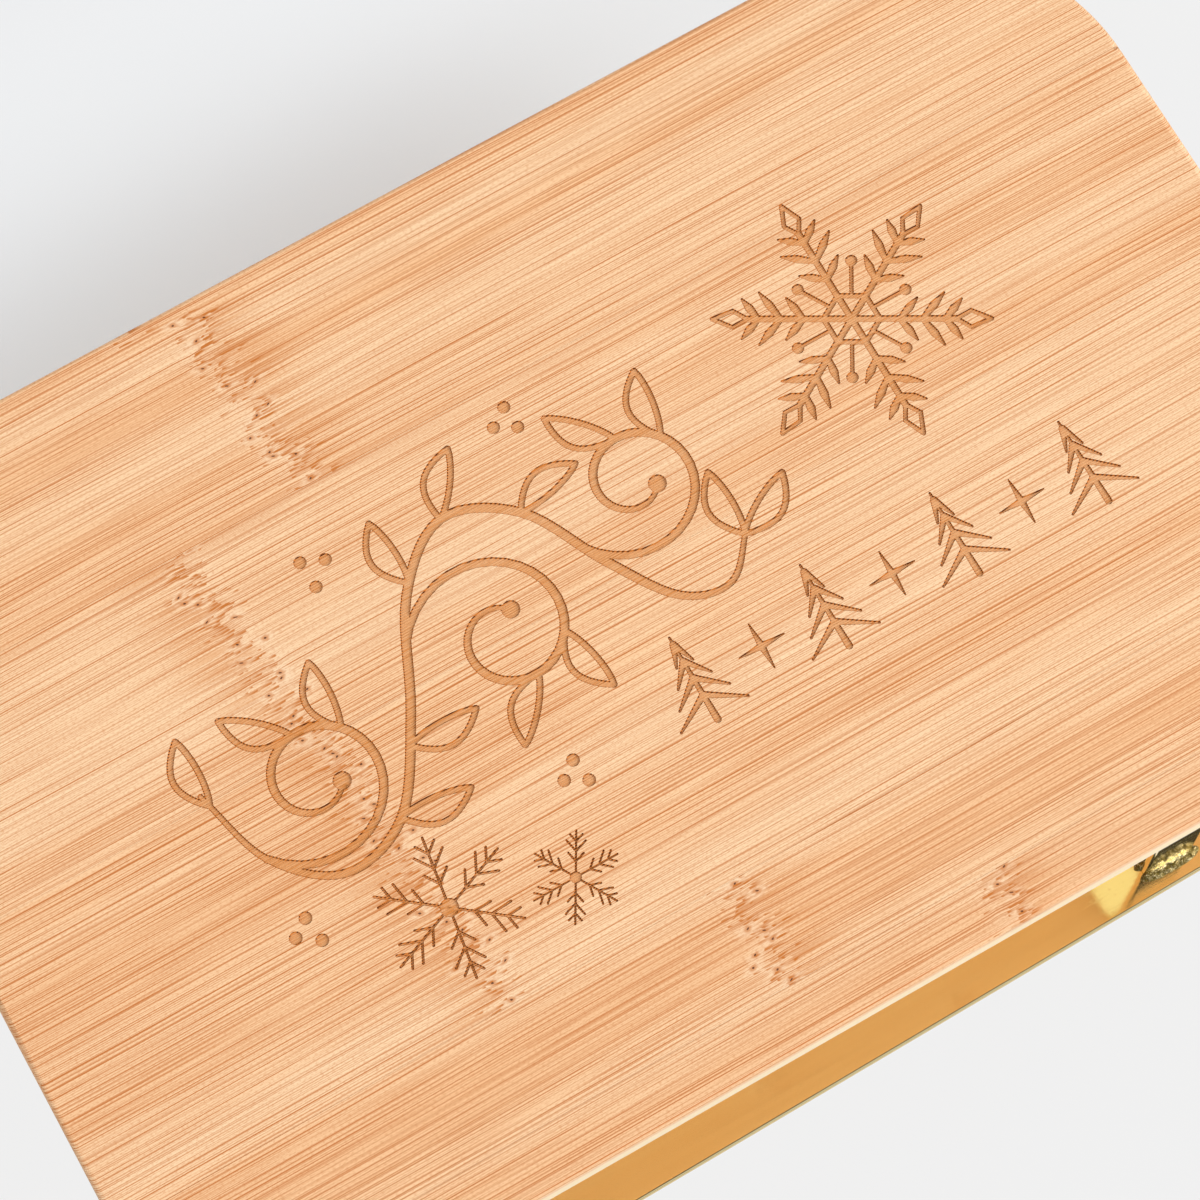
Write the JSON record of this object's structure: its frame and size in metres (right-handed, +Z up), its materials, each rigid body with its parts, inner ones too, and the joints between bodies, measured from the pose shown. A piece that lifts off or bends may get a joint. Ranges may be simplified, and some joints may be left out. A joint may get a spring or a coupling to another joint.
{
  "type": "sleigh serving board",
  "caption": "Rectangular bamboo serving board with rounded front corners, carried on two curled strip-metal sleigh runners joined by cross straps.",
  "frame": {"origin": "centre of the object's footprint at the height of the surface it stands on", "axes": "+X along the board towards the rounded front end and the curls, +Y to the right-hand runner, +Z up"},
  "size_m": [0.3248, 0.2078, 0.0775],
  "materials": {
    "bamboo": "satin oiled bamboo",
    "gold_plate": "polished gold plating",
    "plated_weld": "rough plated weld bead",
    "zinc_plate": "zinc-plated"
  },
  "bodies": {
    "root": {"bamboo_stave_1": "bamboo", "bamboo_stave_2": "bamboo", "bamboo_stave_3": "bamboo", "bamboo_stave_4": "bamboo", "bamboo_stave_5": "bamboo", "front_cross_strap": "gold_plate", "rear_cross_strap": "gold_plate", "left_runner": "gold_plate", "right_runner": "gold_plate", "front_left_outer_weld": "plated_weld", "front_left_inner_weld": "plated_weld", "front_right_outer_weld": "plated_weld", "front_right_inner_weld": "plated_weld", "rear_left_outer_weld": "plated_weld", "rear_left_inner_weld": "plated_weld", "rear_right_outer_weld": "plated_weld", "rear_right_inner_weld": "plated_weld", "front_left_screw": "zinc_plate", "front_right_screw": "zinc_plate", "rear_left_screw": "zinc_plate", "rear_right_screw": "zinc_plate"}
  },
  "joints": []
}
